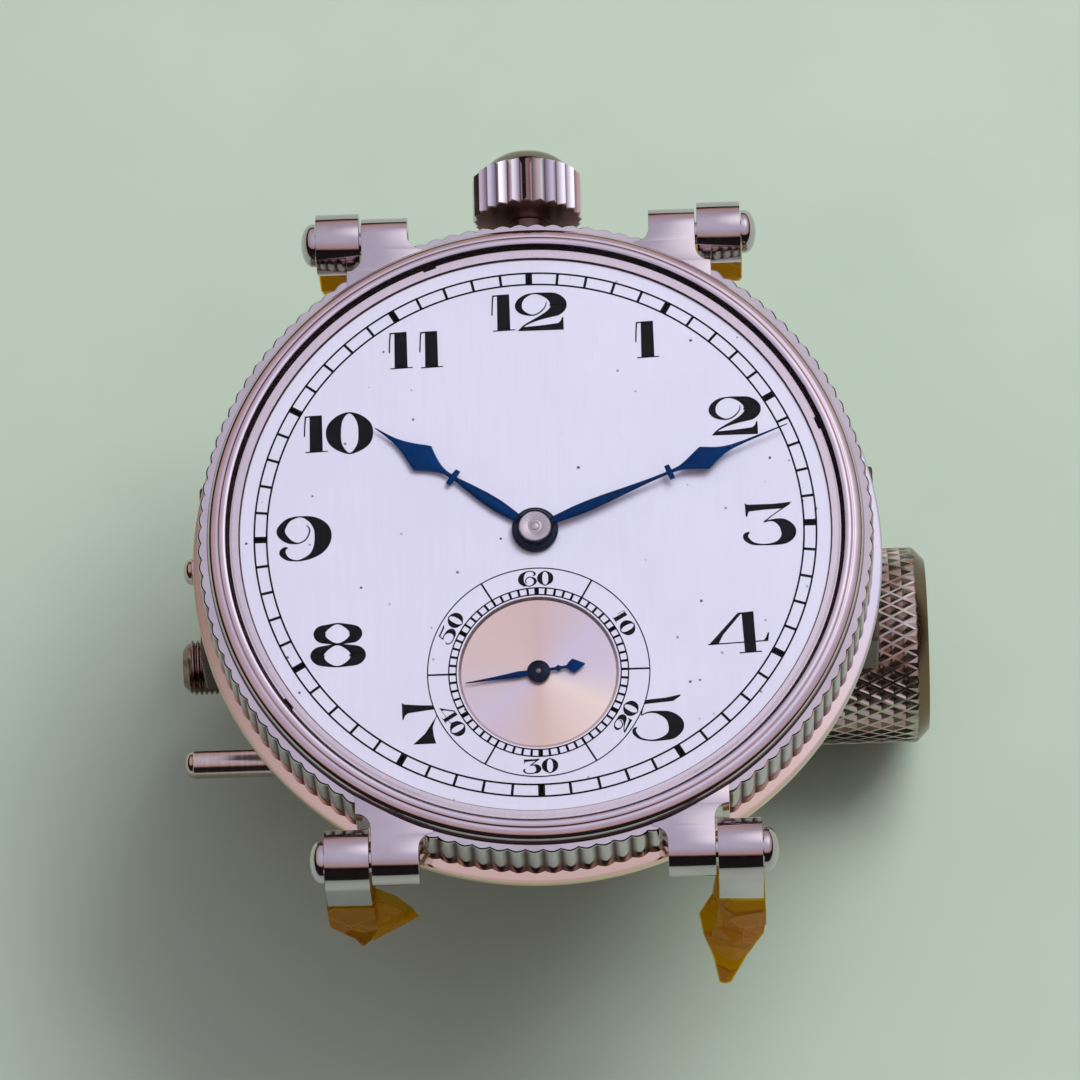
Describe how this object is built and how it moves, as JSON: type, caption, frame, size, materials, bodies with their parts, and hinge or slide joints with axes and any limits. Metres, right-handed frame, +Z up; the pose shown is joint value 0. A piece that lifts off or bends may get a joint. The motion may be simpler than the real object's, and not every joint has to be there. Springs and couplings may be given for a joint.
{
  "type": "watch on screw-jaw holder",
  "caption": "Small-seconds watch head with a coin-edge case, hinged lugs and a fluted crown, gripped dial up in a screw-jaw watch holder with a knurled knob.",
  "frame": {"origin": "on the bench plane under the watch axis, on the underside of the fixed jaw", "axes": "+Z up, out of the dial; +Y to 12 o'clock; +X to 3 o'clock and to the knob"},
  "size_m": [0.0511, 0.0537, 0.0331],
  "materials": {
    "holder_steel": "satin",
    "bright_steel": "satin",
    "pad_nylon": "matte",
    "polished_steel": "polished",
    "crystal_glass": "polished",
    "gasket_rubber": "matte",
    "tape_film": "gloss",
    "dial_silver": "satin",
    "blued_steel": "polished",
    "movement_nickel": "satin",
    "wheel_brass": "satin",
    "movement_steel": "polished",
    "spring_blue": "polished",
    "jewel_ruby": "polished"
  },
  "bodies": {
    "holder": {"fixed_jaw": "holder_steel", "fixed_jaw_pad": "pad_nylon", "guide_rods": "bright_steel", "rod_set_screws": "holder_steel"},
    "clamp_screw": {"lead_screw": "bright_steel", "clamp_knob": "bright_steel", "knob_set_screw": "holder_steel", "thrust_collar": "holder_steel"},
    "sliding_jaw": {"moving_jaw": "holder_steel", "moving_jaw_pad": "pad_nylon"},
    "watch": {"middle_case": "polished_steel", "bezel": "polished_steel", "crystal": "crystal_glass", "dial_ring": "polished_steel", "case_back": "polished_steel", "back_gasket": "gasket_rubber", "case_screws": "movement_steel", "crown_tube": "polished_steel", "lug_pins": "polished_steel", "dial": "dial_silver", "seconds_disc": "dial_silver", "main_plate": "movement_nickel", "barrel_bridge": "movement_nickel", "train_bridge": "movement_nickel", "balance_cock": "movement_nickel", "pallet_bridge": "movement_nickel", "bridge_screws": "blued_steel", "jewels": "jewel_ruby", "hairspring": "spring_blue"},
    "winding_pinion": {"winding_pinion": "wheel_brass"},
    "crown": {"crown": "polished_steel", "winding_stem": "movement_steel"},
    "crown_wheel": {"crown_wheel": "movement_steel"},
    "winding_arbor": {"ratchet_wheel": "movement_steel", "barrel_arbor": "movement_steel"},
    "click": {"click": "movement_steel"},
    "minute_hand": {"cannon_pinion": "movement_steel", "minute_hand": "blued_steel"},
    "minute_wheel": {"minute_wheel": "wheel_brass"},
    "hour_hand": {"hour_wheel": "wheel_brass", "hour_hand": "blued_steel"},
    "fourth_wheel": {"fourth_wheel": "wheel_brass", "seconds_hand": "blued_steel"},
    "third_wheel": {"third_wheel": "wheel_brass"},
    "centre_wheel": {"centre_wheel": "wheel_brass"},
    "barrel": {"mainspring_barrel": "wheel_brass", "barrel_lid": "wheel_brass", "mainspring": "movement_steel"},
    "escape_wheel": {"escape_wheel": "movement_steel"},
    "pallet_fork": {"pallet_fork": "movement_steel"},
    "balance": {"balance_wheel": "wheel_brass"},
    "link_12_left": {"lug_link_12_left": "polished_steel", "lug_tape_12_left": "tape_film"},
    "link_12_right": {"lug_link_12_right": "polished_steel", "lug_tape_12_right": "tape_film"},
    "link_6_left": {"lug_link_6_left": "polished_steel", "lug_tape_6_left": "tape_film"},
    "link_6_right": {"lug_link_6_right": "polished_steel", "lug_tape_6_right": "tape_film"}
  },
  "joints": [
    {"name": "clamp_screw_turn", "type": "hinge", "parent": "holder", "child": "clamp_screw", "pos_m": [0, 0, 0.008], "axis": [1, 0, 0], "range_deg": [0, 8229]},
    {"name": "jaw_slide", "type": "slide", "parent": "holder", "child": "sliding_jaw", "axis": [-1, 0, 0], "range_m": [0, 0.0081]},
    {"name": "watch_lift", "type": "slide", "parent": "holder", "child": "watch", "axis": [0, 0, 1], "range_m": [0, 0.03]},
    {"name": "lug_12_left_swing", "type": "hinge", "parent": "watch", "child": "link_12_left", "pos_m": [-0.0128, 0.02195, 0.02955], "axis": [1, 0, 0], "range_deg": [-20, 90]},
    {"name": "lug_12_right_swing", "type": "hinge", "parent": "watch", "child": "link_12_right", "pos_m": [0.0128, 0.02195, 0.02955], "axis": [1, 0, 0], "range_deg": [-20, 90]},
    {"name": "lug_6_left_swing", "type": "hinge", "parent": "watch", "child": "link_6_left", "pos_m": [-0.0128, -0.02195, 0.02955], "axis": [-1, 0, 0], "range_deg": [-20, 90]},
    {"name": "lug_6_right_swing", "type": "hinge", "parent": "watch", "child": "link_6_right", "pos_m": [0.0128, -0.02195, 0.02955], "axis": [-1, 0, 0], "range_deg": [-20, 90]},
    {"name": "crown_turn", "type": "hinge", "parent": "watch", "child": "winding_pinion", "pos_m": [0, 0.0145, 0.02905], "axis": [0, 1, 0], "continuous": true},
    {"name": "crown_pull", "type": "slide", "parent": "winding_pinion", "child": "crown", "axis": [0, 1, 0], "range_m": [0, 0.0012]},
    {"name": "crown_wheel_turn", "type": "hinge", "parent": "watch", "child": "crown_wheel", "pos_m": [0, 0.0106, 0.0285], "axis": [0, 0, 1], "continuous": true},
    {"name": "ratchet_turn", "type": "hinge", "parent": "watch", "child": "winding_arbor", "pos_m": [0.00636, 0.00636, 0.0285], "axis": [0, 0, 1], "continuous": true},
    {"name": "click_lift", "type": "hinge", "parent": "watch", "child": "click", "pos_m": [0.01135, 0.00455, 0.0285], "axis": [0, 0, 1], "range_deg": [0, 12]},
    {"name": "minute_turn", "type": "hinge", "parent": "watch", "child": "minute_hand", "pos_m": [0, 0, 0.0315], "axis": [0, 0, -1], "continuous": true},
    {"name": "minute_wheel_turn", "type": "hinge", "parent": "watch", "child": "minute_wheel", "pos_m": [0, 0.00336, 0.0305], "axis": [0, 0, -1], "continuous": true},
    {"name": "hour_turn", "type": "hinge", "parent": "watch", "child": "hour_hand", "pos_m": [0, 0, 0.0315], "axis": [0, 0, -1], "continuous": true},
    {"name": "seconds_turn", "type": "hinge", "parent": "watch", "child": "fourth_wheel", "pos_m": [0, -0.0099, 0.0285], "axis": [0, 0, -1], "continuous": true},
    {"name": "third_wheel_turn", "type": "hinge", "parent": "watch", "child": "third_wheel", "pos_m": [0.00396, -0.00546, 0.0285], "axis": [0, 0, -1], "continuous": true},
    {"name": "centre_wheel_turn", "type": "hinge", "parent": "watch", "child": "centre_wheel", "pos_m": [0, 0, 0.0285], "axis": [0, 0, -1], "continuous": true},
    {"name": "barrel_turn", "type": "hinge", "parent": "watch", "child": "barrel", "pos_m": [0.00636, 0.00636, 0.0285], "axis": [0, 0, -1], "continuous": true},
    {"name": "escape_wheel_turn", "type": "hinge", "parent": "watch", "child": "escape_wheel", "pos_m": [-0.0052, -0.00898, 0.0285], "axis": [0, 0, -1], "continuous": true},
    {"name": "pallet_rock", "type": "hinge", "parent": "watch", "child": "pallet_fork", "pos_m": [-0.00799, -0.00656, 0.0285], "axis": [0, 0, 1], "range_deg": [-4, 4]},
    {"name": "balance_swing", "type": "hinge", "parent": "watch", "child": "balance", "pos_m": [-0.01016, -0.00145, 0.0285], "axis": [0, 0, 1], "range_deg": [-270, 270], "stiffness_Nm_per_rad": 0.0000005, "deforming": ["hairspring"]}
  ],
  "couplings": [
    {"joint": "jaw_slide", "follows": "clamp_screw_turn", "m_per_rad": 0.000055704},
    {"joint": "crown_wheel_turn", "follows": "crown_turn", "ratio": 0.25},
    {"joint": "ratchet_turn", "follows": "crown_turn", "ratio": -0.22727},
    {"joint": "minute_wheel_turn", "follows": "minute_turn", "ratio": -0.33333},
    {"joint": "hour_turn", "follows": "minute_turn", "ratio": 0.083333},
    {"joint": "third_wheel_turn", "follows": "seconds_turn", "ratio": -0.13333},
    {"joint": "centre_wheel_turn", "follows": "seconds_turn", "ratio": 0.016667},
    {"joint": "barrel_turn", "follows": "seconds_turn", "ratio": -0.0020833},
    {"joint": "escape_wheel_turn", "follows": "seconds_turn", "ratio": -10}
  ]
}
